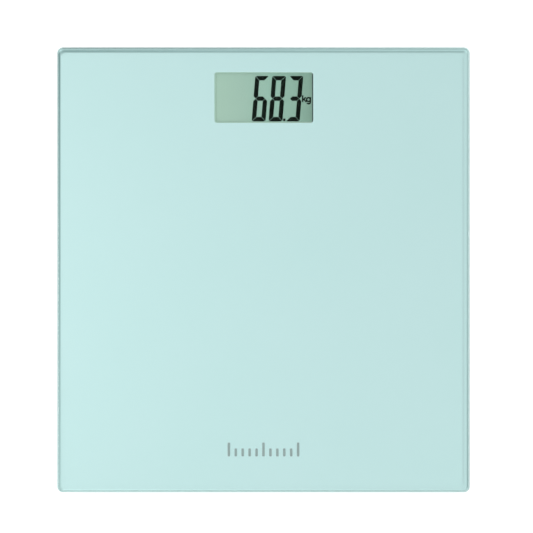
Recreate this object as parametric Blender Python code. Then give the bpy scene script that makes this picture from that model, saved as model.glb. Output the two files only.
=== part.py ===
"""Digital bathroom scale with a tempered glass platform on four load-cell feet.

Run with: blender --background --python part.py

The glass carries everything else. A coloured print covers its underside and leaves a window for the
display. The display housing and four foot housings are glued under the print, and two cable covers run
from the front feet to the display housing. Units are metres, +Z is up, +Y points from the user towards
the display, and the origin is on the floor under the middle of the platform.
"""

import math

import bmesh
import bpy
from mathutils import Matrix, Vector

MM = 0.001

# Platform
TOTAL_HEIGHT = 22 * MM
GLASS_WIDTH = 280 * MM
GLASS_DEPTH = 302 * MM
GLASS_THICKNESS = 5 * MM
GLASS_CORNER = 4 * MM
GLASS_ARRIS = 0.8 * MM
PRINT_INSET = 1.2 * MM
PRINT_THICKNESS = 0.2 * MM
WINDOW_WIDTH = 67 * MM
WINDOW_DEPTH = 34.4 * MM
WINDOW_CORNER = 1.4 * MM
WINDOW_Y = 117 * MM

# The layers between the glass and the housings, each clear of the next by LAYER_GAP
LAYER_GAP = 0.1 * MM
GLUE_THICKNESS = 0.2 * MM
GLASS_BOTTOM = TOTAL_HEIGHT - GLASS_THICKNESS
PRINT_TOP = GLASS_BOTTOM - LAYER_GAP
PRINT_BOTTOM = PRINT_TOP - PRINT_THICKNESS
GLUE_TOP = PRINT_BOTTOM - LAYER_GAP
GLUE_BOTTOM = GLUE_TOP - GLUE_THICKNESS
HOUSING_TOP = GLUE_BOTTOM - LAYER_GAP

# Fits
CLEARANCE = 0.3 * MM
HOUSING_BOTTOM = 5 * MM
FLANGE_THICKNESS = 1.3 * MM

# Feet
FOOT_X = 101 * MM
FOOT_Y = 112 * MM
FOOT_RADIUS = 22.6 * MM
FOOT_BASE_BOTTOM = 1.2 * MM
FOOT_BASE_TOP = 4.2 * MM
FOOT_BUTTON_RADIUS = 6 * MM
FOOT_BUTTON_TOP = 8.8 * MM
PAD_RADIUS = 19.6 * MM
PAD_THICKNESS = 2 * MM
FOOT_LIP_RADIUS = 20.5 * MM
FOOT_LIP_THICKNESS = 1.6 * MM
FOOT_WALL_INNER = 26.8 * MM
FOOT_WALL_OUTER = 29.2 * MM
FOOT_FLANGE_RADIUS = 31.5 * MM
HOOK_COUNT = 3
HOOK_WIDTH = 5 * MM

# Load cells
CELL_SIDE = 34 * MM
CELL_THICKNESS = 2.5 * MM
CELL_CORNER = 3 * MM
CELL_BOTTOM = FOOT_BUTTON_TOP + CLEARANCE
CELL_TOP = CELL_BOTTOM + CELL_THICKNESS
CELL_SLOT = 2.5 * MM
TONGUE_WIDTH = 12 * MM
CARRIER_RADIUS = 26.4 * MM
CARRIER_THICKNESS = 1.2 * MM
POCKET_WALL = 1.2 * MM

# Cell leads and their covers
LEAD_RADIUS = 0.9 * MM
LEAD_Z = 13.8 * MM
LEAD_SLOT = 3.2 * MM
COVER_WIDTH = 9 * MM
COVER_BOTTOM = 11.2 * MM

# Display housing
HOUSING_HALF_WIDTH = 64 * MM
HOUSING_FRONT = 57 * MM
HOUSING_BACK = 140 * MM
HOUSING_CORNER = 6 * MM
HOUSING_WALL = 1.8 * MM
HOUSING_FLANGE = 3 * MM
FLOOR_TOP = HOUSING_BOTTOM + HOUSING_WALL
FRONT_LEAD_X = 50 * MM

# Circuit board
BOARD_HALF_WIDTH = 58 * MM
BOARD_FRONT = 61 * MM
BOARD_BACK = 137 * MM
BOARD_BOTTOM = 10.6 * MM
BOARD_TOP = 11.8 * MM
SCREW_X = 53 * MM
SCREW_YS = (64 * MM, 132 * MM)
PILOT_RADIUS = 1.5 * MM

# Liquid-crystal display
LCD_HALF_WIDTH = 37 * MM
LCD_FRONT = WINDOW_Y - 21.5 * MM
LCD_BACK = WINDOW_Y + 19.5 * MM
LCD_LEDGE = 4 * MM
LCD_GLASS = 1.1 * MM
LCD_TOP = 15.8 * MM
LCD_REST = 13.2 * MM

# Battery bay and its door
BAY_HALF_WIDTH = 12 * MM
BAY_FRONT = 61 * MM
BAY_BACK = 90.8 * MM
BAY_TOP = 12.4 * MM
BAY_WALL = 1.2 * MM
DOOR_OPENING_BACK = 88 * MM
DOOR_THICKNESS = 1.6 * MM
BATTERY_Y = 73.5 * MM
BATTERY_RADIUS = 10 * MM
BATTERY_BOTTOM = 7.8 * MM

# Unit button
BUTTON_X = 38 * MM
BUTTON_Y = 74 * MM
BUTTON_RADIUS = 4 * MM
SWITCH_BOTTOM = 8.8 * MM
PLUNGER_RADIUS = 1.4 * MM

# How finely round shapes are divided
ROUND_STEPS = 28
SMALL_STEPS = 16
CORNER_STEPS = 4
SHARP_ANGLE = math.radians(35)

LOOKS = {
    # name: (red, green, blue, alpha), roughness, metallic
    "clear_glass": ((0.86, 0.97, 0.95, 0.25), 0.03, 0.0),
    "colour_print": ((0.55, 0.78, 0.77, 1.0), 0.3, 0.0),
    "glue": ((0.75, 0.75, 0.72, 1.0), 0.6, 0.0),
    "white_plastic": ((0.8, 0.82, 0.81, 1.0), 0.45, 0.0),
    "grey_plastic": ((0.42, 0.45, 0.46, 1.0), 0.5, 0.0),
    "rubber": ((0.2, 0.21, 0.22, 1.0), 0.85, 0.0),
    "spring_steel": ((0.6, 0.6, 0.62, 1.0), 0.35, 1.0),
    "battery_steel": ((0.75, 0.75, 0.76, 1.0), 0.2, 1.0),
    "display_film": ((0.36, 0.52, 0.44, 1.0), 0.35, 0.0),
    "circuit_board": ((0.03, 0.2, 0.09, 1.0), 0.4, 0.0),
    "black_resin": ((0.02, 0.02, 0.02, 1.0), 0.4, 0.0),
    "contact_rubber": ((0.6, 0.3, 0.32, 1.0), 0.7, 0.0),
    "cable": ((0.75, 0.75, 0.75, 1.0), 0.5, 0.0),
}


# ---------------------------------------------------------------- helpers


def clear_scene():
    for old in list(bpy.data.objects):
        bpy.data.objects.remove(old)


def look(name):
    """The Principled material of that name, made on first use."""
    found = bpy.data.materials.get(name)
    if found:
        return found
    colour, roughness, metallic = LOOKS[name]
    made = bpy.data.materials.new(name)
    made.use_nodes = True
    shader = made.node_tree.nodes["Principled BSDF"]
    shader.inputs["Base Color"].default_value = colour
    shader.inputs["Alpha"].default_value = colour[3]
    shader.inputs["Roughness"].default_value = roughness
    shader.inputs["Metallic"].default_value = metallic
    return made


def linked(name, data):
    made = bpy.data.objects.new(name, data)
    bpy.context.scene.collection.objects.link(made)
    return made


def place(name, mesh, material, location=(0, 0, 0), turn=0.0, parent=None):
    """A node of the model: mesh under that name, in that material, turned about Z and moved."""
    made = linked(name, mesh)
    if not mesh.materials:
        mesh.materials.append(look(material))
    made.location = location
    made.rotation_euler.z = turn
    made.parent = parent
    return made


def mesh_of(points, faces):
    """A closed mesh with its faces turned outwards and its sharp edges marked."""
    shape = bmesh.new()
    corners = [shape.verts.new(point) for point in points]
    for face in faces:
        shape.faces.new([corners[index] for index in face])
    bmesh.ops.recalc_face_normals(shape, faces=shape.faces)
    mesh = bpy.data.meshes.new("shape")
    shape.to_mesh(mesh)
    shape.free()
    mesh.shade_smooth()
    mesh.set_sharp_from_angle(angle=SHARP_ANGLE)
    return mesh


def rounded_rectangle(half_x, half_y, radius, centre=(0, 0)):
    """Points counter-clockwise round a rectangle with round corners."""
    corners = ((1, 1, 0), (-1, 1, 90), (-1, -1, 180), (1, -1, 270))
    outline = []
    for sign_x, sign_y, first_degree in corners:
        corner_x = centre[0] + sign_x * (half_x - radius)
        corner_y = centre[1] + sign_y * (half_y - radius)
        for step in range(CORNER_STEPS + 1):
            angle = math.radians(first_degree + 90 * step / CORNER_STEPS)
            x = corner_x + radius * math.cos(angle)
            y = corner_y + radius * math.sin(angle)
            outline.append((x, y))
    return outline


def stacked(levels):
    """A solid through outlines of equally many points, each given as (outline, z), from bottom to top."""
    count = len(levels[0][0])
    points = [(x, y, z) for outline, z in levels for x, y in outline]
    faces = [list(range(count))]
    for level in range(len(levels) - 1):
        for step in range(count):
            after = (step + 1) % count
            low = level * count
            high = low + count
            faces.append((low + step, low + after, high + after, high + step))
    faces.append([(len(levels) - 1) * count + step for step in range(count)])
    return mesh_of(points, faces)


def prism(outline, low, high):
    return stacked([(outline, low), (outline, high)])


def block(low, high):
    """A box between two opposite corners."""
    outline = [(low[0], low[1]), (high[0], low[1]), (high[0], high[1]), (low[0], high[1])]
    return prism(outline, low[2], high[2])


def slab(half_x, ys, zs, x=0.0):
    """A box that reaches half_x each way from x, between the two ys and the two zs."""
    return block((x - half_x, ys[0], zs[0]), (x + half_x, ys[1], zs[1]))


def turned(profile, steps=ROUND_STEPS):
    """A solid turned about Z from (radius, z) points. A profile that starts and ends on the axis is
    closed by the axis, and any other is closed from its last point to its first, as a ring."""
    solid = profile[0][0] == 0
    ring_points = profile[1:-1] if solid else profile
    count = len(ring_points)
    points = []
    for step in range(steps):
        angle = 2 * math.pi * step / steps
        points += [(r * math.cos(angle), r * math.sin(angle), z) for r, z in ring_points]
    faces = []
    for step in range(steps):
        here = step * count
        there = (step + 1) % steps * count
        for index in range(count if not solid else count - 1):
            after = (index + 1) % count
            faces.append((here + index, here + after, there + after, there + index))
    if solid:
        # Both ends are flat, so each end is one face round the axis.
        faces.append([step * count for step in range(steps)])
        faces.append([step * count + count - 1 for step in range(steps)])
    return mesh_of(points, faces)


def cylinder(radius, low, high, steps=SMALL_STEPS):
    return turned([(0, low), (radius, low), (radius, high), (0, high)], steps)


def moved(mesh, x, y, turn=0.0):
    """The mesh itself, turned about Z and then moved in X and Y."""
    mesh.transform(Matrix.Translation((x, y, 0)) @ Matrix.Rotation(turn, 4, "Z"))
    return mesh


def shaped(base, joins=(), cuts=()):
    """base with each mesh of joins added and then each of cuts taken away, as one mesh."""
    body = linked("body", base)
    tools = []
    for operation, meshes in (("UNION", joins), ("DIFFERENCE", cuts)):
        for mesh in meshes:
            tool = linked("tool", mesh)
            tools.append(tool)
            change = body.modifiers.new(operation, "BOOLEAN")
            change.operation = operation
            change.object = tool
    bpy.context.view_layer.update()
    graph = bpy.context.evaluated_depsgraph_get()
    made = bpy.data.meshes.new_from_object(body.evaluated_get(graph))
    for helper in [body, *tools]:
        bpy.data.objects.remove(helper)
    made.shade_smooth()
    made.set_sharp_from_angle(angle=SHARP_ANGLE)
    return made


# ---------------------------------------------------------------- platform


def make_platform():
    """The glass plate with its polished edges, and the colour printed under it."""
    half_x = GLASS_WIDTH / 2
    half_y = GLASS_DEPTH / 2
    full = rounded_rectangle(half_x, half_y, GLASS_CORNER)
    face = rounded_rectangle(half_x - GLASS_ARRIS, half_y - GLASS_ARRIS, GLASS_CORNER - GLASS_ARRIS)
    levels = [
        (face, GLASS_BOTTOM),
        (full, GLASS_BOTTOM + GLASS_ARRIS),
        (full, TOTAL_HEIGHT - GLASS_ARRIS),
        (face, TOTAL_HEIGHT),
    ]
    place("glass_platform", stacked(levels), "clear_glass")

    inner = GLASS_CORNER - PRINT_INSET
    sheet = prism(
        rounded_rectangle(half_x - PRINT_INSET, half_y - PRINT_INSET, inner), PRINT_BOTTOM, PRINT_TOP
    )
    window = prism(
        rounded_rectangle(WINDOW_WIDTH / 2, WINDOW_DEPTH / 2, WINDOW_CORNER, (0, WINDOW_Y)),
        PRINT_BOTTOM - PRINT_THICKNESS,
        PRINT_TOP + PRINT_THICKNESS,
    )
    place("colour_print", shaped(sheet, cuts=[window]), "colour_print")


# ---------------------------------------------------------------- feet


def foot_housing_mesh():
    """The ring round a foot: a wall with a flange to glue on and a lip that keeps the foot in."""
    chamfer = 1 * MM
    profile = [
        (FOOT_LIP_RADIUS, HOUSING_BOTTOM),
        (FOOT_WALL_OUTER - chamfer, HOUSING_BOTTOM),
        (FOOT_WALL_OUTER, HOUSING_BOTTOM + chamfer),
        (FOOT_WALL_OUTER, HOUSING_TOP - FLANGE_THICKNESS),
        (FOOT_FLANGE_RADIUS, HOUSING_TOP - FLANGE_THICKNESS),
        (FOOT_FLANGE_RADIUS, HOUSING_TOP),
        (FOOT_WALL_INNER, HOUSING_TOP),
        (FOOT_WALL_INNER, HOUSING_BOTTOM + FOOT_LIP_THICKNESS),
        (FOOT_LIP_RADIUS, HOUSING_BOTTOM + FOOT_LIP_THICKNESS),
    ]
    return shaped(turned(profile), cuts=[lead_slot(FOOT_WALL_INNER - 2 * MM, FOOT_WALL_OUTER + 2 * MM)])


def lead_slot(start, end):
    """A cutter for the hole that a lead leaves through, along +X from start to end."""
    half = LEAD_SLOT / 2
    return block((start, -half, LEAD_Z - 1.3 * MM), (end, half, LEAD_Z + 1.1 * MM))


def carrier_mesh():
    """The plate that passes the load to the glass, with the load cell's pocket and rails under it."""
    plate_bottom = HOUSING_TOP - CARRIER_THICKNESS
    overlap = CARRIER_THICKNESS / 2
    inner = CELL_SIDE / 2 + CLEARANCE
    outer = inner + POCKET_WALL
    pocket_bottom = CELL_BOTTOM + 1 * MM
    walls = prism(
        rounded_rectangle(outer, outer, CELL_CORNER + CLEARANCE + POCKET_WALL),
        pocket_bottom,
        plate_bottom + overlap,
    )
    pocket = prism(
        rounded_rectangle(inner, inner, CELL_CORNER + CLEARANCE), pocket_bottom - overlap, plate_bottom
    )
    rail_middle = CELL_SIDE / 2 - 1.5 * MM
    rails = []
    for y in (-rail_middle, rail_middle):
        ys = (y - 2 * MM, y + 2 * MM)
        rails.append(slab(inner + overlap, ys, (CELL_TOP + CLEARANCE, plate_bottom + overlap)))
    cup = shaped(walls, cuts=[pocket])
    plate = cylinder(CARRIER_RADIUS, plate_bottom, HOUSING_TOP, ROUND_STEPS)
    return shaped(plate, joins=[cup, *rails], cuts=[lead_slot(inner - 2 * MM, outer + 2 * MM)])


def load_cell_mesh():
    """A stamped plate whose U-shaped slot leaves a tongue that bends under load."""
    side = CELL_SIDE / 2
    plate = prism(rounded_rectangle(side, side, CELL_CORNER), CELL_BOTTOM, CELL_TOP)
    tongue = TONGUE_WIDTH / 2
    slot = tongue + CELL_SLOT
    slot_outline = [
        (-slot, 11 * MM),
        (-slot, -11.5 * MM),
        (slot, -11.5 * MM),
        (slot, 11 * MM),
        (tongue, 11 * MM),
        (tongue, -9 * MM),
        (-tongue, -9 * MM),
        (-tongue, 11 * MM),
    ]
    return shaped(plate, cuts=[prism(slot_outline, CELL_BOTTOM - MM, CELL_TOP + MM)])


def foot_mesh():
    """A foot: a disc with a recess for its pad, a button that bears on the load cell, and hooks."""
    hub_inner = 16.8 * MM
    hub_outer = 19.8 * MM
    hub_top = 6.2 * MM
    recess_radius = PAD_RADIUS + CLEARANCE
    recess_top = PAD_THICKNESS + 0.2 * MM
    edge = 0.8 * MM
    profile = [
        (0, recess_top),
        (recess_radius, recess_top),
        (recess_radius, FOOT_BASE_BOTTOM),
        (FOOT_RADIUS - edge, FOOT_BASE_BOTTOM),
        (FOOT_RADIUS, FOOT_BASE_BOTTOM + edge),
        (FOOT_RADIUS, FOOT_BASE_TOP),
        (hub_outer, FOOT_BASE_TOP),
        (hub_outer, hub_top),
        (hub_inner, hub_top),
        (hub_inner, FOOT_BASE_TOP),
        (FOOT_BUTTON_RADIUS, FOOT_BASE_TOP),
        (FOOT_BUTTON_RADIUS, FOOT_BUTTON_TOP - edge),
        (FOOT_BUTTON_RADIUS - edge, FOOT_BUTTON_TOP),
        (0, FOOT_BUTTON_TOP),
    ]
    barb_bottom = HOUSING_BOTTOM + FOOT_LIP_THICKNESS + CLEARANCE
    barb_top = barb_bottom + 1.2 * MM
    barb_reach = FOOT_LIP_RADIUS + 1.3 * MM
    hooks = []
    for index in range(HOOK_COUNT):
        turn = 2 * math.pi * index / HOOK_COUNT + math.pi / HOOK_COUNT
        outline = [
            (hub_inner + 0.4 * MM, hub_top - MM),
            (hub_outer - 0.4 * MM, hub_top - MM),
            (hub_outer - 0.4 * MM, barb_bottom),
            (barb_reach, barb_bottom),
            (hub_outer - 0.4 * MM, barb_top),
            (hub_inner + 0.4 * MM, barb_top),
        ]
        hook = side_prism(outline, -HOOK_WIDTH / 2, HOOK_WIDTH / 2)
        hooks.append(moved(hook, 0, 0, turn))
    return shaped(turned(profile), joins=hooks)


def side_prism(outline, low, high):
    """A solid from (x, z) points, extruded along Y."""
    count = len(outline)
    points = [(x, y, z) for y in (low, high) for x, z in outline]
    faces = [list(range(count)), list(range(count, 2 * count))]
    for step in range(count):
        after = (step + 1) % count
        faces.append((step, after, count + after, count + step))
    return mesh_of(points, faces)


def pad_mesh():
    edge = 0.7 * MM
    profile = [
        (0, 0),
        (PAD_RADIUS - edge, 0),
        (PAD_RADIUS, edge),
        (PAD_RADIUS, PAD_THICKNESS),
        (0, PAD_THICKNESS),
    ]
    return turned(profile)


def gauge_mesh():
    """The strain gauge under its potting, on the tongue's upper face."""
    low = CELL_TOP + LAYER_GAP
    return stacked(
        [
            (rounded_rectangle(4.5 * MM, 3 * MM, 1 * MM), low),
            (rounded_rectangle(4.5 * MM, 3 * MM, 1 * MM), low + 0.4 * MM),
            (rounded_rectangle(3.8 * MM, 2.3 * MM, 0.8 * MM), low + 0.8 * MM),
        ]
    )


def lead_curve(name, start, end, drop):
    """A round lead from start straight to end, which sinks by drop over its last stretch."""
    curve = bpy.data.curves.new(name, "CURVE")
    curve.dimensions = "3D"
    curve.bevel_depth = LEAD_RADIUS
    curve.bevel_resolution = 2
    curve.use_fill_caps = True
    run = end - start
    sink_length = 12 * MM
    sink_steps = 6
    level = start + run * (1 - sink_length / run.length)
    points = [start, level]
    for step in range(1, sink_steps + 1):
        share = step / sink_steps
        ease = share * share * (3 - 2 * share)
        points.append(level.lerp(end, share) - Vector((0, 0, drop * ease)))
    spline = curve.splines.new("POLY")
    spline.points.add(len(points) - 1)
    for target, point in zip(spline.points, points):
        target.co = (*point, 1)
    curve.materials.append(look("cable"))
    return linked(name, curve)


def lead_ends(side_x, side_y):
    """Where a foot's lead starts, over its strain gauge, and where it ends, over the board."""
    centre = Vector((side_x * FOOT_X, side_y * FOOT_Y, LEAD_Z))
    if side_y > 0:
        end = Vector((side_x * (HOUSING_HALF_WIDTH - 14 * MM), side_y * FOOT_Y, LEAD_Z))
        along = (end - centre).normalized()
    else:
        entry = Vector((side_x * FRONT_LEAD_X, HOUSING_FRONT, LEAD_Z))
        along = (entry - centre).normalized()
        end = entry + along * 13 * MM
    return centre + along * 3 * MM, end


def lead_turn(side_x, side_y):
    start, end = lead_ends(side_x, side_y)
    return math.atan2(end.y - start.y, end.x - start.x)


def make_feet():
    """Four load-cell feet, each turned so that its lead slot faces the display housing."""
    glue = cylinder(FOOT_FLANGE_RADIUS - 0.5 * MM, GLUE_BOTTOM, GLUE_TOP, ROUND_STEPS)
    housing, carrier, cell = foot_housing_mesh(), carrier_mesh(), load_cell_mesh()
    gauge, foot, pad = gauge_mesh(), foot_mesh(), pad_mesh()
    for side_y, end_name in ((-1, "front"), (1, "back")):
        for side_x, side_name in ((-1, "left"), (1, "right")):
            corner = f"{end_name}_{side_name}"
            where = (side_x * FOOT_X, side_y * FOOT_Y, 0)
            turn = lead_turn(side_x, side_y)
            place(f"foot_glue_{corner}", glue, "glue", where)
            place(f"foot_housing_{corner}", housing, "white_plastic", where, turn)
            place(f"cell_carrier_{corner}", carrier, "grey_plastic", where, turn)
            place(f"load_cell_{corner}", cell, "spring_steel", where, turn)
            place(f"strain_gauge_{corner}", gauge, "glue", where, turn)
            place(f"foot_{corner}", foot, "grey_plastic", where)
            place(f"foot_pad_{corner}", pad, "rubber", where)
            start, end = lead_ends(side_x, side_y)
            lead_curve(f"cell_lead_{corner}", start, end, drop=0.8 * MM)


def make_cable_covers():
    """Channels that hide the front leads, each fitted to its foot housing and the display housing."""
    half = COVER_WIDTH / 2
    wall = 1.2 * MM
    edge = 0.8 * MM
    outline = [
        (-half, HOUSING_TOP),
        (-half, COVER_BOTTOM + edge),
        (-half + edge, COVER_BOTTOM),
        (half - edge, COVER_BOTTOM),
        (half, COVER_BOTTOM + edge),
        (half, HOUSING_TOP),
        (half - wall, HOUSING_TOP),
        (half - wall, COVER_BOTTOM + wall),
        (-half + wall, COVER_BOTTOM + wall),
        (-half + wall, HOUSING_TOP),
    ]
    low = COVER_BOTTOM - MM
    high = HOUSING_TOP + MM
    flange_low = HOUSING_TOP - FLANGE_THICKNESS - CLEARANCE
    wall_y = HOUSING_FRONT - CLEARANCE
    flange_y = wall_y - HOUSING_FLANGE
    reach = FOOT_Y + HOUSING_FRONT + COVER_WIDTH * 2
    for side, side_name in ((-1, "left"), (1, "right")):
        x, y = side * FOOT_X, -FOOT_Y
        # The channel is drawn along Y, and the lead's direction is measured from +X.
        turn = lead_turn(side, -1) - math.pi / 2
        channel = moved(side_prism(outline, FOOT_WALL_INNER, reach), x, y, turn)
        cuts = [
            moved(cylinder(FOOT_WALL_OUTER + CLEARANCE, low, high, ROUND_STEPS), x, y),
            moved(cylinder(FOOT_FLANGE_RADIUS + CLEARANCE, flange_low, high, ROUND_STEPS), x, y),
            slab(HOUSING_HALF_WIDTH, (wall_y, HOUSING_BACK), (low, high)),
            slab(HOUSING_HALF_WIDTH, (flange_y, HOUSING_BACK), (flange_low, high)),
        ]
        place(f"cable_cover_{side_name}", shaped(channel, cuts=cuts), "white_plastic")


# ---------------------------------------------------------------- display housing


def housing_outline(grow):
    """The display housing's outline in plan, grown outwards by grow."""
    half_y = (HOUSING_BACK - HOUSING_FRONT) / 2
    middle = (HOUSING_BACK + HOUSING_FRONT) / 2
    return rounded_rectangle(
        HOUSING_HALF_WIDTH + grow, half_y + grow, HOUSING_CORNER + grow, (0, middle)
    )


def make_display_housing():
    chamfer = 1.2 * MM
    flange_bottom = HOUSING_TOP - FLANGE_THICKNESS
    above = HOUSING_TOP + MM
    below = HOUSING_BOTTOM - MM
    tray = stacked(
        [
            (housing_outline(-chamfer), HOUSING_BOTTOM),
            (housing_outline(0), HOUSING_BOTTOM + chamfer),
            (housing_outline(0), flange_bottom),
            (housing_outline(HOUSING_FLANGE), flange_bottom),
            (housing_outline(HOUSING_FLANGE), HOUSING_TOP),
        ]
    )
    cavity = prism(housing_outline(-HOUSING_WALL), FLOOR_TOP, above)
    tray = shaped(tray, cuts=[cavity])

    bay_ys = (HOUSING_FRONT + MM, BAY_BACK + BAY_WALL)
    bay_block = slab(BAY_HALF_WIDTH + BAY_WALL, bay_ys, (HOUSING_BOTTOM + MM, BAY_TOP + BAY_WALL))
    boss_radius = 3.2 * MM
    boss_top = BOARD_BOTTOM - 0.2 * MM
    bosses, cuts = [], []
    for x in (-SCREW_X, SCREW_X):
        for y in SCREW_YS:
            bosses.append(moved(cylinder(boss_radius, HOUSING_BOTTOM + MM, boss_top), x, y))
            cuts.append(moved(cylinder(PILOT_RADIUS, FLOOR_TOP + 0.6 * MM, above), x, y))
    nail_notch_radius = 3.1 * MM
    nail_notch_top = HOUSING_BOTTOM + 0.9 * MM
    cuts += [
        slab(BAY_HALF_WIDTH, (BAY_FRONT, BAY_BACK), (FLOOR_TOP, BAY_TOP)),
        slab(BAY_HALF_WIDTH, (BAY_FRONT, DOOR_OPENING_BACK), (below, FLOOR_TOP + MM)),
        moved(cylinder(BUTTON_RADIUS + CLEARANCE, below, FLOOR_TOP + MM), BUTTON_X, BUTTON_Y),
        moved(cylinder(nail_notch_radius, below, nail_notch_top), 0, BAY_FRONT),
    ]
    wall_reach = 4 * MM
    entries = ((1, (HOUSING_HALF_WIDTH, FOOT_Y)), (-1, (FRONT_LEAD_X, HOUSING_FRONT)))
    for side in (-1, 1):
        for side_y, (x, y) in entries:
            slot = lead_slot(-wall_reach, wall_reach)
            cuts.append(moved(slot, side * x, y, lead_turn(side, side_y)))
    place("display_housing", shaped(tray, joins=[bay_block, *bosses], cuts=cuts), "white_plastic")

    glue_outline = housing_outline(HOUSING_FLANGE - 0.4 * MM)
    glue = prism(glue_outline, GLUE_BOTTOM, GLUE_TOP)
    hollow = prism(housing_outline(-HOUSING_WALL), GLUE_BOTTOM - MM, GLUE_TOP + MM)
    place("housing_glue", shaped(glue, cuts=[hollow]), "glue")


def make_display():
    """The liquid-crystal cell between its films, in its frame, on its contact strip."""
    film_x = WINDOW_WIDTH / 2 + 0.7 * MM
    film_ys = (WINDOW_Y - WINDOW_DEPTH / 2 - 0.3 * MM, WINDOW_Y + WINDOW_DEPTH / 2 + 0.3 * MM)
    film_low = LCD_TOP + LAYER_GAP
    front_low = LCD_TOP - LCD_GLASS
    rear_top = front_low - LAYER_GAP
    rear_low = rear_top - LCD_GLASS
    reflector_top = rear_low - LAYER_GAP
    front_film = slab(film_x, film_ys, (film_low, film_low + 0.2 * MM))
    front_glass = slab(LCD_HALF_WIDTH, (LCD_FRONT, LCD_BACK), (front_low, LCD_TOP))
    rear_glass = slab(LCD_HALF_WIDTH, (LCD_FRONT + LCD_LEDGE, LCD_BACK), (rear_low, rear_top))
    reflector = slab(film_x, film_ys, (reflector_top - 0.1 * MM, reflector_top))
    place("front_polariser", front_film, "clear_glass")
    place("lcd_front_glass", front_glass, "clear_glass")
    place("lcd_rear_glass", rear_glass, "clear_glass")
    place("lcd_reflector", reflector, "display_film")

    frame_low = BOARD_TOP + 0.2 * MM
    frame_top = LCD_TOP + LAYER_GAP
    frame_ys = (LCD_FRONT - 3 * MM, LCD_BACK + 1.2 * MM)
    frame = slab(LCD_HALF_WIDTH + 5 * MM, frame_ys, (frame_low, frame_top))
    rest_ys = (LCD_FRONT - CLEARANCE, LCD_BACK + CLEARANCE)
    rest = slab(LCD_HALF_WIDTH + CLEARANCE, rest_ys, (LCD_REST, frame_top + MM))
    well_ys = (LCD_FRONT + 0.5 * MM, film_ys[1] + CLEARANCE)
    light_well = slab(film_x + CLEARANCE, well_ys, (frame_low - MM, LCD_REST + MM))
    place("lcd_frame", shaped(frame, cuts=[rest, light_well]), "white_plastic")

    strip_front = LCD_FRONT + 0.8 * MM
    strip_ys = (strip_front, strip_front + 2.2 * MM)
    strip = slab(film_x - CLEARANCE, strip_ys, (BOARD_TOP + LAYER_GAP, front_low - LAYER_GAP))
    place("contact_strip", strip, "contact_rubber")


def make_circuit_board():
    """The board round the battery bay, and its four screws."""
    half_y = (BOARD_BACK - BOARD_FRONT) / 2
    middle = (BOARD_BACK + BOARD_FRONT) / 2
    outline = rounded_rectangle(BOARD_HALF_WIDTH, half_y, 2 * MM, (0, middle))
    low, high = BOARD_BOTTOM - MM, BOARD_TOP + MM
    round_bay = BAY_WALL + 0.8 * MM
    cuts = [slab(BAY_HALF_WIDTH + round_bay, (BOARD_FRONT - MM, BAY_BACK + round_bay), (low, high))]
    shank_radius = 1.15 * MM
    head_radius = 2.6 * MM
    head_low = BOARD_TOP + LAYER_GAP
    head_top = BOARD_TOP + 1.5 * MM
    screw = turned(
        [
            (0, FLOOR_TOP + 0.9 * MM),
            (shank_radius, FLOOR_TOP + 0.9 * MM),
            (shank_radius, head_low),
            (head_radius, head_low),
            (head_radius, head_top - 0.5 * MM),
            (head_radius - 0.8 * MM, head_top),
            (0, head_top),
        ],
        SMALL_STEPS,
    )
    corners = [(x, y) for y in SCREW_YS for x in (-SCREW_X, SCREW_X)]
    for number, (x, y) in enumerate(corners, start=1):
        cuts.append(moved(cylinder(PILOT_RADIUS, low, high), x, y))
        place(f"board_screw_{number}", screw, "spring_steel", (x, y, 0))
    board = prism(outline, BOARD_BOTTOM, BOARD_TOP)
    place("circuit_board", shaped(board, cuts=cuts), "circuit_board")


def make_board_parts():
    """What is soldered to the board's underside."""
    solder_face = BOARD_BOTTOM - LAYER_GAP
    blob_low = solder_face - 1.2 * MM
    blob = turned(
        [
            (0, blob_low),
            (2.5 * MM, blob_low),
            (5.5 * MM, blob_low + 0.4 * MM),
            (7 * MM, solder_face),
            (0, solder_face),
        ],
        SMALL_STEPS,
    )
    place("chip_cover", blob, "black_resin", (30 * MM, 112 * MM, 0))
    can = prism(rounded_rectangle(4 * MM, 1.6 * MM, 1.5 * MM), solder_face - 2.4 * MM, solder_face)
    place("crystal", can, "battery_steel", (46 * MM, 112 * MM, 0))
    capacitor = cylinder(2 * MM, solder_face - 3 * MM, solder_face)
    place("capacitor", capacitor, "battery_steel", (-38 * MM, 100 * MM, 0))

    half = 3 * MM
    body = block((-half, -half, SWITCH_BOTTOM), (half, half, solder_face))
    well = cylinder(PLUNGER_RADIUS + CLEARANCE, SWITCH_BOTTOM - MM, SWITCH_BOTTOM + 1.2 * MM)
    place("unit_switch", shaped(body, cuts=[well]), "black_resin", (BUTTON_X, BUTTON_Y, 0))


def make_unit_button():
    """The button under the housing that changes the unit, and the switch's plunger that it pushes."""
    flange_bottom = FLOOR_TOP + CLEARANCE
    flange_top = flange_bottom + 0.8 * MM
    face = HOUSING_BOTTOM - 0.4 * MM
    profile = [
        (0, face),
        (BUTTON_RADIUS - 0.6 * MM, face),
        (BUTTON_RADIUS, face + 0.4 * MM),
        (BUTTON_RADIUS, flange_bottom),
        (BUTTON_RADIUS + 1.5 * MM, flange_bottom),
        (BUTTON_RADIUS + 1.5 * MM, flange_top),
        (0, flange_top),
    ]
    slide = linked("button_axis", None)
    slide.location = (BUTTON_X, BUTTON_Y, 0)
    place("unit_button", turned(profile, 24), "grey_plastic", parent=slide)
    plunger = cylinder(PLUNGER_RADIUS, flange_top + 0.2 * MM, SWITCH_BOTTOM + 0.5 * MM)
    place("switch_plunger", plunger, "black_resin", parent=slide)


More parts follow.
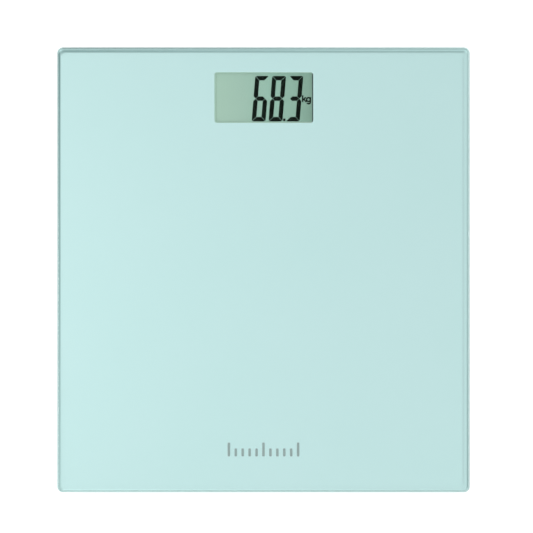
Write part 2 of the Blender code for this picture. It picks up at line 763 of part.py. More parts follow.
def make_battery_bay():
    """The coin cell, its two contacts, and the hinged door that closes its bay."""
    top = BATTERY_BOTTOM + 3.2 * MM
    cell = [
        (0, BATTERY_BOTTOM),
        (BATTERY_RADIUS - 0.4 * MM, BATTERY_BOTTOM),
        (BATTERY_RADIUS, BATTERY_BOTTOM + 0.4 * MM),
        (BATTERY_RADIUS, top - 0.7 * MM),
        (BATTERY_RADIUS - 1.2 * MM, top - 0.4 * MM),
        (BATTERY_RADIUS - 1.4 * MM, top),
        (0, top),
    ]
    place("battery", turned(cell), "battery_steel", (0, BATTERY_Y, 0))

    leaf_low = top + 0.5 * MM
    leaf = slab(2.5 * MM, (64 * MM, 90 * MM), (leaf_low, leaf_low + 0.3 * MM))
    dimple_ys = (BATTERY_Y - 2 * MM, BATTERY_Y + 2 * MM)
    dimple = slab(1.6 * MM, dimple_ys, (top + LAYER_GAP, leaf_low + 0.1 * MM))
    place("battery_contact_minus", shaped(leaf, joins=[dimple]), "spring_steel")
    side = BATTERY_RADIUS + 0.4 * MM
    plus_outline = [
        (side, 7.2 * MM),
        (side + 0.4 * MM, 7.2 * MM),
        (side + 0.4 * MM, 11.7 * MM),
        (side + 1.3 * MM, 11.7 * MM),
        (side + 1.3 * MM, 12.1 * MM),
        (side, 12.1 * MM),
    ]
    plus = side_prism(plus_outline, BATTERY_Y - 4.5 * MM, BATTERY_Y + 4.5 * MM)
    place("battery_contact_plus", plus, "spring_steel")

    make_battery_door()


def make_battery_door():
    """The door, drawn from its hinge line: its latch end is at -Y and its hooks reach past the line."""
    half = BAY_HALF_WIDTH - CLEARANCE
    length = DOOR_OPENING_BACK - BAY_FRONT - 2 * CLEARANCE
    plate = block((-half, -length, 0), (half, 0, DOOR_THICKNESS))
    web = 1.2 * MM
    lip_bottom = HOUSING_WALL + 0.4 * MM
    lip_top = lip_bottom + 1.2 * MM
    inset = 0.2 * MM
    hook_outline = [
        (-web - inset, DOOR_THICKNESS / 2),
        (-inset, DOOR_THICKNESS / 2),
        (-inset, lip_bottom),
        (1.6 * MM, lip_bottom),
        (1.6 * MM, lip_top),
        (-web - inset, lip_top),
    ]
    hooks = []
    for x in (-7.5 * MM, 7.5 * MM):
        # side_prism runs along Y, so the hook is turned to run along X.
        hook = side_prism(hook_outline, -1.5 * MM, 1.5 * MM)
        hooks.append(moved(hook, x, 0, math.pi / 2))
    slot_ys = (-length - MM, -length + 8 * MM)
    slots = [slab(0.4 * MM, slot_ys, (-MM, lip_top), x) for x in (-4 * MM, 4 * MM)]
    hinge = linked("door_hinge_axis", None)
    hinge.location = (0, DOOR_OPENING_BACK - CLEARANCE, HOUSING_BOTTOM)
    place("battery_door", shaped(plate, joins=hooks, cuts=slots), "white_plastic", parent=hinge)


clear_scene()
make_platform()
make_feet()
make_cable_covers()
make_display_housing()
make_display()
make_circuit_board()
make_board_parts()
make_unit_button()
make_battery_bay()
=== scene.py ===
"""Looks for the glass bathroom scale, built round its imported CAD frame."""

import math

import bmesh
import bpy
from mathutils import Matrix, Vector


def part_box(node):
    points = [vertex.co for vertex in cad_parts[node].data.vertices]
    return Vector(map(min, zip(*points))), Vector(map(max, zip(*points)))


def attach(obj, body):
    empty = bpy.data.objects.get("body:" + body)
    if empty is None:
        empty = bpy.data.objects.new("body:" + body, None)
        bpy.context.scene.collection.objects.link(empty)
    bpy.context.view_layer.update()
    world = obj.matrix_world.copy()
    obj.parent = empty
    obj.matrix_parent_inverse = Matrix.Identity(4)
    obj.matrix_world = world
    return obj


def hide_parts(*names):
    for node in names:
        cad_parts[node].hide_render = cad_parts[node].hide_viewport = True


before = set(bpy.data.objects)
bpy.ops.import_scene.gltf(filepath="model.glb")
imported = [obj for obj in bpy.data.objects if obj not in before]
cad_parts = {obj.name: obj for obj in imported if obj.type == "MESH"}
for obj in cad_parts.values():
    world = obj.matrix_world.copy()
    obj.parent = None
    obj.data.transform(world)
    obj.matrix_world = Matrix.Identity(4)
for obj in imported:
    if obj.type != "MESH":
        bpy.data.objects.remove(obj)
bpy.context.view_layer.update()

MM = 0.001
UP = Vector((0, 0, 1))
PLATFORM = "platform_body"
BUTTON = "unit_button_body"
DOOR = "battery_door_body"
CORNERS = [(f"{end}_{side}", side_x, side_y) for end, side_y in (("front", -1), ("back", 1))
           for side, side_x in (("left", -1), ("right", 1))]


def middle(node):
    """The middle of a CAD node, seen from above, to a thousandth of a millimetre."""
    low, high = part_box(node)
    return round((low.x + high.x) / 2, 6), round((low.y + high.y) / 2, 6)


glass_low, glass_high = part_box("glass_platform")
print_low, print_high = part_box("colour_print")
HALF_X = glass_high.x
HALF_Y = glass_high.y
LCD_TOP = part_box("lcd_front_glass")[1].z
FILM_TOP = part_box("front_polariser")[1].z
HOUSING_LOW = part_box("display_housing")[0].z
BUTTON_PLACE = middle("unit_button")
BATTERY_PLACE = middle("battery")

WINDOW_HALF_X = 33.55 * MM
WINDOW_HALF_Y = 17.2 * MM
WINDOW_RADIUS = 1.8 * MM
WINDOW_PLACE = (0.2 * MM, 117.0 * MM)

# ---------------------------------------------------------------- meshes

CORNER_STEPS = 10
OUTLINE_POINTS = 4 * (CORNER_STEPS + 1)
EVEN_SHADING = ("WEIGHTED_NORMAL", {"keep_sharp": True})
# Vertices nearer than this are one, and faces that meet at less than this angle are one.
SAME_PLACE = 0.002 * MM
SAME_PLANE = math.radians(0.5)
BEVEL_ANGLE = math.radians(32)


def link(name, data, replaces=(), body=PLATFORM):
    """Adds a piece that rides on a body and may stand for CAD nodes."""
    made = bpy.data.objects.new(name, data)
    bpy.context.scene.collection.objects.link(made)
    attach(made, body)
    if replaces:
        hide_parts(*replaces)


def clean(shape, name, angle=35):
    """A mesh from a bmesh, with its faces turned outwards and its sharp edges marked."""
    bmesh.ops.recalc_face_normals(shape, faces=shape.faces)
    mesh = bpy.data.meshes.new(name)
    shape.to_mesh(mesh)
    shape.free()
    mesh.shade_smooth()
    mesh.set_sharp_from_angle(angle=math.radians(angle))
    for face in mesh.polygons:
        if len(face.vertices) > 4:
            face.use_smooth = False
    return mesh


def rounded(half_x, half_y, radius, steps=CORNER_STEPS, centre=(0, 0)):
    """A rounded rectangle's outline, anticlockwise from its right side."""
    points = []
    for turn, (sx, sy) in enumerate(((1, 1), (-1, 1), (-1, -1), (1, -1))):
        for step in range(steps + 1):
            angle = math.pi / 2 * (turn + step / steps)
            points.append((centre[0] + sx * (half_x - radius) + radius * math.cos(angle),
                           centre[1] + sy * (half_y - radius) + radius * math.sin(angle)))
    return points


def bridge(shape, one, other):
    """Faces between two closed loops of vertices with equal counts."""
    count = len(one)
    for i in range(count):
        j = (i + 1) % count
        shape.faces.new((one[i], one[j], other[j], other[i]))


def loft(levels, name, closed=False):
    """A solid through a list of (outline, z) with equal counts of points. A closed one is a ring."""
    shape = bmesh.new()
    loops = [[shape.verts.new((x, y, z)) for x, y in outline] for outline, z in levels]
    for low, high in zip(loops, loops[1:]):
        bridge(shape, low, high)
    if closed:
        bridge(shape, loops[-1], loops[0])
    else:
        shape.faces.new(loops[0])
        shape.faces.new(loops[-1])
    return clean(shape, name)


def raised(outlines, base, tip, share, name, mat, body=PLATFORM):
    """Flat convex marks from base to tip as one piece, each narrowing to a share of its outline."""
    shape = bmesh.new()
    for outline in outlines:
        middle_x = sum(x for x, _ in outline) / len(outline)
        middle_y = sum(y for _, y in outline) / len(outline)
        wide = [shape.verts.new((x, y, base)) for x, y in outline]
        narrow = [shape.verts.new((middle_x + (x - middle_x) * share,
                                   middle_y + (y - middle_y) * share, tip)) for x, y in outline]
        shape.faces.new(wide)
        shape.faces.new(narrow)
        bridge(shape, wide, narrow)
    mesh = clean(shape, name, 30)
    mesh.materials.append(mat)
    link(name, mesh, body=body)


def modified(mesh, name, steps):
    """The mesh after a list of (modifier type, its settings)."""
    work = bpy.data.objects.new(name, mesh)
    bpy.context.scene.collection.objects.link(work)
    for kind, settings in steps:
        modifier = work.modifiers.new(kind, kind)
        for key, value in settings.items():
            setattr(modifier, key, value)
    depsgraph = bpy.context.evaluated_depsgraph_get()
    made = bpy.data.meshes.new_from_object(work.evaluated_get(depsgraph), depsgraph=depsgraph)
    bpy.data.objects.remove(work)
    made.name = name
    return made


def softened(node, width, mat, body=PLATFORM):
    """A CAD node's shape with its edges rounded by a width in mm, which stands for that node."""
    shape = bmesh.new()
    shape.from_mesh(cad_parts[node].data)
    bmesh.ops.remove_doubles(shape, verts=shape.verts, dist=SAME_PLACE)
    bmesh.ops.dissolve_limit(shape, angle_limit=SAME_PLANE, verts=shape.verts, edges=shape.edges)
    bmesh.ops.recalc_face_normals(shape, faces=shape.faces)
    shape.verts.index_update()
    mesh = bpy.data.meshes.new(node)
    mesh.from_pydata([v.co[:] for v in shape.verts], [], [[v.index for v in f.verts] for f in shape.faces])
    shape.free()
    mesh.shade_smooth()
    rounding = ("BEVEL", {"width": width * MM, "segments": 2, "limit_method": "ANGLE",
                          "angle_limit": BEVEL_ANGLE, "use_clamp_overlap": True})
    made = modified(mesh, f"soft_{node}", [rounding, EVEN_SHADING])
    made.materials.clear()
    made.materials.append(mat)
    link(f"soft_{node}", made, [node], body)


def turned(profile, name, mat, centre, steps=72):
    """A solid turned round Z from (radius, height) points in mm, from the axis to the axis or as a ring."""
    shape = bmesh.new()
    rows = []
    for radius, height in profile:
        turns = [2 * math.pi * k / steps for k in range(steps)] if radius else [0]
        rows.append([shape.verts.new((centre[0] + radius * MM * math.cos(turn),
                                      centre[1] + radius * MM * math.sin(turn),
                                      height * MM)) for turn in turns])
    pairs = list(zip(rows, rows[1:]))
    if profile[0][0]:
        pairs.append((rows[-1], rows[0]))
    for low, high in pairs:
        for i in range(steps):
            j = (i + 1) % steps
            around = [low[i % len(low)], low[j % len(low)], high[j % len(high)], high[i % len(high)]]
            shape.faces.new(list(dict.fromkeys(around)))
    mesh = modified(clean(shape, name, 50), name, [EVEN_SHADING])
    mesh.materials.append(mat)
    return mesh


def carved(mesh, cutters, name):
    """The mesh without what lies inside each cutter mesh."""
    tools = [bpy.data.objects.new("cutter", cutter) for cutter in cutters]
    for tool in tools:
        bpy.context.scene.collection.objects.link(tool)
    cuts = [("BOOLEAN", {"operation": "DIFFERENCE", "solver": "EXACT", "object": tool}) for tool in tools]
    made = modified(mesh, name, cuts)
    for tool in tools:
        bpy.data.objects.remove(tool)
    return made


# ---------------------------------------------------------------- material tools


def material(name, colour, rough, metal=0.0, **sockets):
    made = bpy.data.materials.new(name)
    made.use_nodes = True
    shader = made.node_tree.nodes["Principled BSDF"]
    shader.inputs["Base Color"].default_value = (*colour, 1)
    shader.inputs["Roughness"].default_value = rough
    shader.inputs["Metallic"].default_value = metal
    for socket, value in sockets.items():
        shader.inputs[socket.replace("_", " ")].default_value = value
    return made


def add(mat, kind, **inputs):
    """A new shader node, with its settings and the values of its sockets."""
    node = mat.node_tree.nodes.new("ShaderNode" + kind)
    for key, value in inputs.items():
        if hasattr(node, key):
            setattr(node, key, value)
        else:
            node.inputs[key.replace("_", " ")].default_value = value
    return node


def wire(mat, source, target):
    mat.node_tree.links.new(source, target)


def shader_of(mat):
    return mat.node_tree.nodes["Principled BSDF"]


def coloured(mat, source):
    wire(mat, source, shader_of(mat).inputs["Base Color"])


def object_place(mat):
    return add(mat, "TexCoord").outputs["Object"]


def noise(mat, scale, detail=3.0, stretch=(1, 1, 1)):
    mapping = add(mat, "Mapping", Scale=stretch)
    wire(mat, object_place(mat), mapping.inputs["Vector"])
    made = add(mat, "TexNoise", Scale=scale, Detail=detail, Roughness=0.5)
    wire(mat, mapping.outputs[0], made.inputs["Vector"])
    return made.outputs["Fac"]


def ramp(mat, source, stops):
    """A colour for each value of the source, from (value, grey or colour) stops."""
    made = add(mat, "ValToRGB")
    elements = made.color_ramp.elements
    while len(elements) < len(stops):
        elements.new(0.5)
    for element, (at, colour) in zip(elements, stops):
        element.position = at
        element.color = (*colour, 1) if isinstance(colour, tuple) else (colour, colour, colour, 1)
    wire(mat, source, made.inputs["Fac"])
    return made.outputs["Color"]


def between(mat, source, dark, light):
    """A grey or colour that goes from dark to light with a noise."""
    return ramp(mat, source, ((0.3, dark), (0.7, light)))


def srgb(r, g, b):
    """A linear colour from one in bytes."""
    def one(v):
        v /= 255
        return v / 12.92 if v <= 0.04045 else ((v + 0.055) / 1.055) ** 2.4
    return one(r), one(g), one(b)


def mix(mat, factor, a, b, blend="MIX"):
    """A mix of two greys, colours or sockets, by a number or a socket."""
    made = add(mat, "Mix", data_type="RGBA", blend_type=blend, clamp_factor=False)
    for value, index in ((factor, 0), (a, 6), (b, 7)):
        target = made.inputs[index]
        if hasattr(value, "links"):
            wire(mat, value, target)
        elif isinstance(value, tuple):
            target.default_value = (*value, 1)
        else:
            target.default_value = value if index == 0 else (value, value, value, 1)
    return made.outputs[2]


def multiplied(mat, a, b):
    return mix(mat, 1.0, a, b, "MULTIPLY")


def bump(mat, height, strength, distance):
    """Bumps of a distance in mm."""
    made = add(mat, "Bump", Strength=strength, Distance=distance * MM)
    wire(mat, height, made.inputs["Height"])
    wire(mat, made.outputs["Normal"], shader_of(mat).inputs["Normal"])


def surface_mix(mat, factor, first, second):
    """Sends a mix of two shaders to the material's surface."""
    both = add(mat, "MixShader")
    for index, source in enumerate((factor, first.outputs[0], second.outputs[0])):
        wire(mat, source, both.inputs[index])
    wire(mat, both.outputs[0], mat.node_tree.nodes["Material Output"].inputs["Surface"])


def lets_lamps_through(mat):
    """Shadow and diffuse rays pass straight through, so what lies under this glass is lit."""
    path = add(mat, "LightPath")
    either = add(mat, "Math", operation="MAXIMUM")
    wire(mat, path.outputs["Is Shadow Ray"], either.inputs[0])
    wire(mat, path.outputs["Is Diffuse Ray"], either.inputs[1])
    surface_mix(mat, either.outputs[0], shader_of(mat), add(mat, "BsdfTransparent"))


def toned(mesh, tones):
    """Stores a tone for each vertex, by which its surface is darker or lighter: painted shade below one,
    painted light above.
    """
    stored = mesh.attributes.new("tone", "FLOAT", "POINT")
    for value, tone in zip(stored.data, tones):
        value.value = tone


def tone_of(mat):
    return add(mat, "Attribute", attribute_name="tone").outputs["Fac"]


def corner_values(values, middles=None):
    """One value for each point of a rounded outline, from eight, each corner's first and last point.

    The four middles are for the middle of each corner. Without them, a corner goes evenly from end to end.
    """
    made = []
    middles = middles or [(first + last) / 2 for first, last in zip(values[::2], values[1::2])]
    for first, middle_value, last in zip(values[::2], middles, values[1::2]):
        for step in range(CORNER_STEPS + 1):
            share = 2 * step / CORNER_STEPS
            if share < 1:
                made.append(first + (middle_value - first) * share)
            else:
                made.append(middle_value + (last - middle_value) * (share - 1))
    return made


# ---------------------------------------------------------------- camera, light and floor

CAMERA_PLACE = (0.00204, 0.00227, 2.5)
CAMERA_LENS = 246.8
SKY_STRENGTH = 0.93
# The ceiling starts to darken at the first height on a unit sphere and is black at the second.
CEILING = (0.93, 0.975)
LAMP_SIZE = 0.22
FLOOR_REACH = 3.0
FLOOR_GLOW = 0.72

scene = bpy.context.scene
scene.view_settings.view_transform = "Standard"
scene.view_settings.look = "None"


def add_camera():
    data = bpy.data.cameras.new("camera")
    data.lens = CAMERA_LENS
    data.sensor_width = 36
    camera = bpy.data.objects.new("camera", data)
    camera.location = CAMERA_PLACE
    scene.collection.objects.link(camera)
    scene.camera = camera


def add_studio():
    """A world that is pale all round, with a dark ceiling for the glass to mirror."""
    world = bpy.data.worlds.new("studio")
    scene.world = world
    world.use_nodes = True
    tree = world.node_tree
    sky = tree.nodes["Background"]
    sky.inputs["Strength"].default_value = SKY_STRENGTH
    heading = tree.nodes.new("ShaderNodeTexCoord")
    parts = tree.nodes.new("ShaderNodeSeparateXYZ")
    ceiling = tree.nodes.new("ShaderNodeMapRange")
    ceiling.interpolation_type = "SMOOTHSTEP"
    ceiling.inputs["From Min"].default_value = CEILING[0]
    ceiling.inputs["From Max"].default_value = CEILING[1]
    ceiling.inputs["To Min"].default_value = 1.0
    ceiling.inputs["To Max"].default_value = 0.0
    tree.links.new(heading.outputs["Generated"], parts.inputs[0])
    tree.links.new(parts.outputs["Z"], ceiling.inputs["Value"])
    tree.links.new(ceiling.outputs[0], sky.inputs["Color"])


def add_lamp(name, place, power):
    """A round area light that faces the origin."""
    data = bpy.data.lights.new(name, "AREA")
    data.shape = "DISK"
    data.size = LAMP_SIZE
    data.energy = power
    lamp = bpy.data.objects.new(name, data)
    lamp.location = place
    lamp.rotation_euler = (-Vector(place)).to_track_quat("-Z", "Y").to_euler()
    scene.collection.objects.link(lamp)


def add_floor():
    """A glowing pale floor just below the part, which can be seen through from below."""
    reach = FLOOR_REACH
    mesh = bpy.data.meshes.new("floor")
    mesh.from_pydata([(-reach, -reach, 0), (reach, -reach, 0), (reach, reach, 0), (-reach, reach, 0)],
                     [], [(0, 1, 2, 3)])
    floor = bpy.data.objects.new("floor", mesh)
    floor.location.z = -0.2 * MM
    scene.collection.objects.link(floor)
    look = material("floor", (0.5, 0.5, 0.5), 0.9,
                    Emission_Color=(1, 1, 1, 1), Emission_Strength=FLOOR_GLOW)
    facing = add(look, "NewGeometry")
    surface_mix(look, facing.outputs["Backfacing"], shader_of(look), add(look, "BsdfTransparent"))
    mesh.materials.append(look)


add_camera()
add_studio()
add_lamp("key", (-0.42, -0.045, 0.40), 0.68)
add_lamp("fill", (0.42, -0.40, 0.35), 0.28)
add_floor()

# ---------------------------------------------------------------- glass plate

GLASS_IOR = 1.52
PLATE_RADIUS = 4
# The plate's edge in section: how far in, how high above its lower face, both in mm.
PLATE_EDGE = ((1.0, 0.0), (0.82, 0.05), (0.05, 0.82), (0.0, 1.0),
              (0.0, 4.0), (0.05, 4.18), (0.82, 4.95), (1.0, 5.0))
EDGE_TINT = (0.86, 0.95, 0.93)
# Tones go anticlockwise from the far end of the right side, one at each end of each side.
# These tones are painted shade and painted highlights on the plate's bevel: below one darker, above one
# lighter.
EDGE_TONES = (1.15, 0.9, 0.6, 1.1, 1.15, 0.7, 0.75, 1.15)


def glass_material():
    look = material("platform_glass", (0.985, 1.0, 0.995), 0.0, IOR=GLASS_IOR, Transmission_Weight=1.0)
    lets_lamps_through(look)
    tints = ((0.35, (0.975, 0.997, 0.991)), (0.65, (0.99, 1.0, 0.998)))
    coloured(look, ramp(look, noise(look, 14, 4), tints))
    bump(look, noise(look, 25, 2), 0.02, 0.1)
    return look


def edge_material():
    look = material("polished_edge", (0.8, 0.92, 0.9), 0.02, IOR=GLASS_IOR, Transmission_Weight=0.85)
    lets_lamps_through(look)
    # Painted shade and highlights: each side's tone darkens or lightens the edge's tint.
    coloured(look, multiplied(look, EDGE_TINT, tone_of(look)))
    bump(look, noise(look, 700, 3), 0.06, 0.05)
    return look


def side_material():
    """Looking in from the side, the glass shows its own green before anything behind it."""
    look = material("glass_side", srgb(128, 190, 176), 0.08, IOR=GLASS_IOR, Transmission_Weight=0.45)
    lets_lamps_through(look)
    streaks = noise(look, 260, 3, stretch=(1, 1, 6))
    coloured(look, between(look, streaks, srgb(112, 176, 162), srgb(146, 206, 192)))
    bump(look, noise(look, 700, 3), 0.1, 0.05)
    return look


def make_plate():
    levels, tones = [], []
    for inset, height in PLATE_EDGE:
        outline = rounded(HALF_X - inset * MM, HALF_Y - inset * MM, (PLATE_RADIUS - inset) * MM)
        levels.append((outline, glass_low.z + height * MM))
        tones += corner_values(EDGE_TONES)
    mesh = loft(levels, "glass_plate")
    toned(mesh, tones)
    for look in (glass_material(), edge_material(), side_material()):
        mesh.materials.append(look)
    for face in mesh.polygons:
        upright = abs(face.normal.z)
        face.material_index = 0 if upright > 0.999 else 1 if upright > 0.1 else 2
    link("glass_plate", mesh, ["glass_platform"])


make_plate()

# ---------------------------------------------------------------- print

INK = srgb(203, 237, 236)
BORDER_SHADE_TEAL = (0.0, 0.07, 0.07)
# The print's border from outside in, one row for each line: insets in mm from the plate's right, far,
# left and near side, tones in the order of EDGE_TONES, tones in the middle of each corner, and a corner
# radius in mm.
# The border's tones are painted shade and painted highlights: the dark lines and pale corner arcs of the
# glass's edge over the print.
BORDER = (
    ((0.5, 0.5, 0.5, 0.5), (1.0, 0.5, 0.4, 0.75, 0.85, 0.52, 0.62, 1.0), (0.4, 0.45, 0.8, 0.8), 3.5),
    ((1.0, 1.0, 1.0, 0.9), (0.9, 0.36, 0.34, 0.46, 0.68, 0.62, 0.66, 0.95), (0.6, 0.95, 0.75, 0.9), 3.1),
    ((1.4, 1.45, 1.5, 1.4), (0.72, 0.93, 0.88, 0.2, 0.62, 1.08, 1.0, 0.45), (1.1, 1.0, 0.7, 0.75), 2.8),
    ((1.75, 1.9, 1.9, 1.8), (0.78, 0.9, 0.5, 0.5, 0.75, 1.1, 0.98, 0.45), (1.1, 0.6, 0.8, 0.9), 2.6),
    ((2.05, 3.05, 2.3, 2.2), (0.97, 0.53, 0.42, 0.95, 0.86, 1.0, 0.98, 0.97), (0.9, 0.55, 0.9, 0.97), 2.6),
    ((3.2, 3.7, 3.0, 3.0), (0.96, 0.9, 0.9, 1.0, 0.97, 1.0, 0.98, 0.95), (0.9, 0.9, 1.0, 0.95), 2.8),
    ((4.3, 4.4, 4.2, 4.0), (0.87, 0.98, 1.0, 1.0, 0.98, 0.98, 0.98, 0.86), (1.0, 1.0, 1.0, 0.95), 3.2),
    ((5.6, 5.6, 5.6, 5.6), (1.0, 1.0, 1.0, 1.0, 1.0, 1.0, 1.0, 1.0), (1.0, 1.0, 1.0, 1.0), 3.6),
)
# Rings round the window, from outside in: how much wider than the window in mm, and a tone.
WINDOW_RINGS = ((2.2, 1.0), (0.7, 1.025), (0.0, 1.0))


def ink_material():
    look = material("colour_print", INK, 0.55, Specular_IOR_Level=0.12)
    tone = add(look, "Math", operation="MULTIPLY")
    wire(look, between(look, noise(look, 900, 4), 0.985, 1.0), tone.inputs[0])
    wire(look, tone_of(look), tone.inputs[1])
    # Painted shade and highlights on the border: a tone below one darkens the ink towards a deep teal, one
    # above lightens it.
    coloured(look, mix(look, tone.outputs[0], BORDER_SHADE_TEAL, INK))
    bump(look, noise(look, 5000, 2), 0.05, 0.02)
    return look


def backing_material():
    look = material("print_backing", srgb(214, 227, 225), 0.6)
    coloured(look, between(look, noise(look, 900, 4), srgb(209, 223, 221), srgb(215, 229, 227)))
    bump(look, noise(look, 3000, 3), 0.2, 0.01)
    return look


def border_ring(insets, tones, middles, radius):
    """The plate's outline moved in by a distance in mm for each side, and its tones."""
    right, far, left, near = (inset * MM for inset in insets)
    outline = rounded(HALF_X - (right + left) / 2, HALF_Y - (far + near) / 2, radius * MM,
                      centre=((left - right) / 2, (near - far) / 2))
    return outline, corner_values(tones, middles)


def make_print():
    """A sheet with a hole for the window, whose lower side has only its first and last ring."""
    rings = [border_ring(*row) for row in BORDER]
    for grow, tone in WINDOW_RINGS:
        outline = rounded(WINDOW_HALF_X + grow * MM, WINDOW_HALF_Y + grow * MM, WINDOW_RADIUS + grow * MM,
                          centre=WINDOW_PLACE)
        rings.append((outline, [tone] * OUTLINE_POINTS))
    levels = [(outline, print_high.z) for outline, _ in rings]
    levels += [(rings[-1][0], print_low.z), (rings[0][0], print_low.z)]
    mesh = loft(levels, "print_layer", closed=True)
    toned(mesh, [tone for _, tones in rings + [rings[-1], rings[0]] for tone in tones])
    mesh.materials.append(ink_material())
    mesh.materials.append(backing_material())
    for face in mesh.polygons:
        face.material_index = 1 if face.normal.z < -0.9 else 0
    link("print_layer", mesh, ["colour_print"])


make_print()

# ---------------------------------------------------------------- printed mark

# Thin layers of ink or liquid crystal start this far above their ground, and are this thick.
LAYER_GAP = 0.02 * MM
LAYER = 0.05 * MM


def printed(outlines, ground, name, mat):
    """A thin flat layer of convex outlines just above a ground."""
    raised(outlines, ground + LAYER_GAP, ground + LAYER_GAP + LAYER, 1.0, name, mat)


MARK_Y = -122 * MM
TICK_PITCH = 4.7 * MM
TICK_HALF_WIDTH = 0.85 * MM
LONG_TICK = 9.4 * MM
SHORT_TICK = 5.4 * MM


def make_mark():
    """A plain row of ticks, every fifth one long, that stand on one line."""
    look = material("mark_ink", srgb(152, 172, 170), 0.45)
    coloured(look, between(look, noise(look, 1500, 3), srgb(146, 167, 165), srgb(158, 177, 175)))
    ticks = []
    for index in range(-5, 6):
        tall = SHORT_TICK if index % 5 else LONG_TICK
        place = (index * TICK_PITCH, MARK_Y + (tall - LONG_TICK) / 2)
        ticks.append(rounded(TICK_HALF_WIDTH, tall / 2, 0.5 * MM, 4, place))
    printed(ticks, print_high.z, "printed_mark", look)


make_mark()

# ---------------------------------------------------------------- display


def dress(names, mat):
    """Gives CAD nodes a material and keeps their shapes."""
    for name in names:
        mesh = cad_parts[name].data
        mesh.materials.clear()
        mesh.materials.append(mat)


def ground_material():
    """The display's grey-green ground, with painted shade that darkens it from left to right."""
    look = material("lcd_ground", srgb(157, 191, 174), 0.3)
    across = add(look, "SeparateXYZ")
    wire(look, object_place(look), across.inputs[0])
    along = add(look, "MapRange", From_Min=-WINDOW_HALF_X, From_Max=WINDOW_HALF_X)
    wire(look, across.outputs["X"], along.inputs["Value"])
    ground = ramp(look, along.outputs[0], (
        (0.0, srgb(179, 214, 195)), (0.3, srgb(172, 207, 190)), (0.6, srgb(160, 202, 184)),
        (0.85, srgb(152, 191, 173)), (1.0, srgb(141, 177, 159))))
    coloured(look, multiplied(look, ground, between(look, noise(look, 2500, 4), 0.97, 1.0)))
    return look


film_look = material("clear_film", (0.12, 0.16, 0.14), 0.2, Alpha=0.012, Specular_IOR_Level=0.1)
dress(["lcd_front_glass", "lcd_rear_glass"], ground_material())
dress(["front_polariser"], film_look)

DIGIT_HEIGHT = 30.8 * MM
DIGIT_WIDTH = 9.4 * MM
DIGIT_Y = 116.3 * MM
DIGIT_RADIUS = 1.1 * MM
STROKE = 2.95 * MM
SEGMENT_GAP = 0.14 * MM
SLANT = math.tan(math.radians(4.6))
# Each digit's middle in mm and the segments that are lit in it.
READING = ((-2.1, "afgedc"), (9.4, "abcdefg"), (21.1, "abgcd"))
POINT_PLACE = (14.1 * MM, 101.95 * MM)
POINT_SLANT_Y = 102 * MM


def mirrored(outline, x=1, y=1):
    return [(x * point_x, y * point_y) for point_x, point_y in outline]


def half_bend(reach, rise):
    """Half of a digit's rounded corner, from where it leaves the side at rise to its mitre."""
    turns = [math.pi / 4 * k / 4 for k in range(5)]
    return [(reach - DIGIT_RADIUS + DIGIT_RADIUS * math.sin(turn),
             rise - DIGIT_RADIUS + DIGIT_RADIUS * math.cos(turn)) for turn in turns]


def segment_outlines():
    """The seven segments of an upright digit round the origin: a to g."""
    half_x, half_y = DIGIT_WIDTH / 2, DIGIT_HEIGHT / 2
    inner_x, inner_y = half_x - STROKE, half_y - STROKE
    point_x, shoulder_y = half_x - STROKE / 2, STROKE / 2
    gap = SEGMENT_GAP
    # The top segment, from its right mitre to its left one.
    top = [(x - gap, y) for x, y in half_bend(half_x, half_y)]
    top = top + [(inner_x - gap, inner_y), (gap - inner_x, inner_y)] + mirrored(reversed(top), x=-1)
    # The upper right segment, from its mitre down to its point by the middle.
    bend = [(y, x - gap) for x, y in half_bend(half_y, half_x)]
    upper = [(inner_x, inner_y - gap)] + bend[::-1]
    upper += [(half_x, shoulder_y + gap), (point_x, gap), (inner_x, shoulder_y + gap)]
    # The middle segment, from its right point along its top, and the same turned half round.
    above = [(point_x - gap, 0), (inner_x - gap, shoulder_y), (gap - inner_x, shoulder_y)]
    across = above + mirrored(above, x=-1, y=-1)
    return {"a": top, "b": upper, "c": mirrored(upper, y=-1), "d": mirrored(top, y=-1),
            "e": mirrored(upper, x=-1, y=-1), "f": mirrored(upper, x=-1), "g": across}


def make_reading():
    look = material("lcd_segments", srgb(8, 18, 12), 0.7, Specular_IOR_Level=0.05)
    coloured(look, between(look, noise(look, 3000, 2), srgb(9, 19, 13), srgb(18, 29, 23)))
    segments = segment_outlines()
    shown = []
    for middle_x, lit in READING:
        for letter in lit:
            shown.append([(middle_x * MM + x + y * SLANT, DIGIT_Y + y) for x, y in segments[letter]])
    point = rounded(0.78 * MM, 0.85 * MM, 0.3 * MM, 4, POINT_PLACE)
    shown.append([(x + (y - POINT_SLANT_Y) * SLANT, y) for x, y in point])
    printed(shown, LCD_TOP, "display_reading", look)


make_reading()

# The unit's letters, with their lines in mm from its lower left corner.
UNIT_LEFT = 26.25 * MM
UNIT_BASE = 114.15 * MM
PEN = 0.95 * MM
# A pen stroke reaches past its ends by this share of half its width.
PEN_OVERRUN = 0.35


def pen_strokes(points):
    """Convex quads along a line of points in mm from the unit's lower left corner."""
    places = [(UNIT_LEFT + x * MM, UNIT_BASE + y * MM) for x, y in points]
    half = PEN / 2
    quads = []
    for (ax, ay), (bx, by) in zip(places, places[1:]):
        length = math.hypot(bx - ax, by - ay)
        dx, dy = half * (bx - ax) / length, half * (by - ay) / length
        ax, ay = ax - dx * PEN_OVERRUN, ay - dy * PEN_OVERRUN
        bx, by = bx + dx * PEN_OVERRUN, by + dy * PEN_OVERRUN
        quads.append([(ax - dy, ay + dx), (bx - dy, by + dx), (bx + dy, by - dx), (ax + dy, ay - dx)])
    return quads


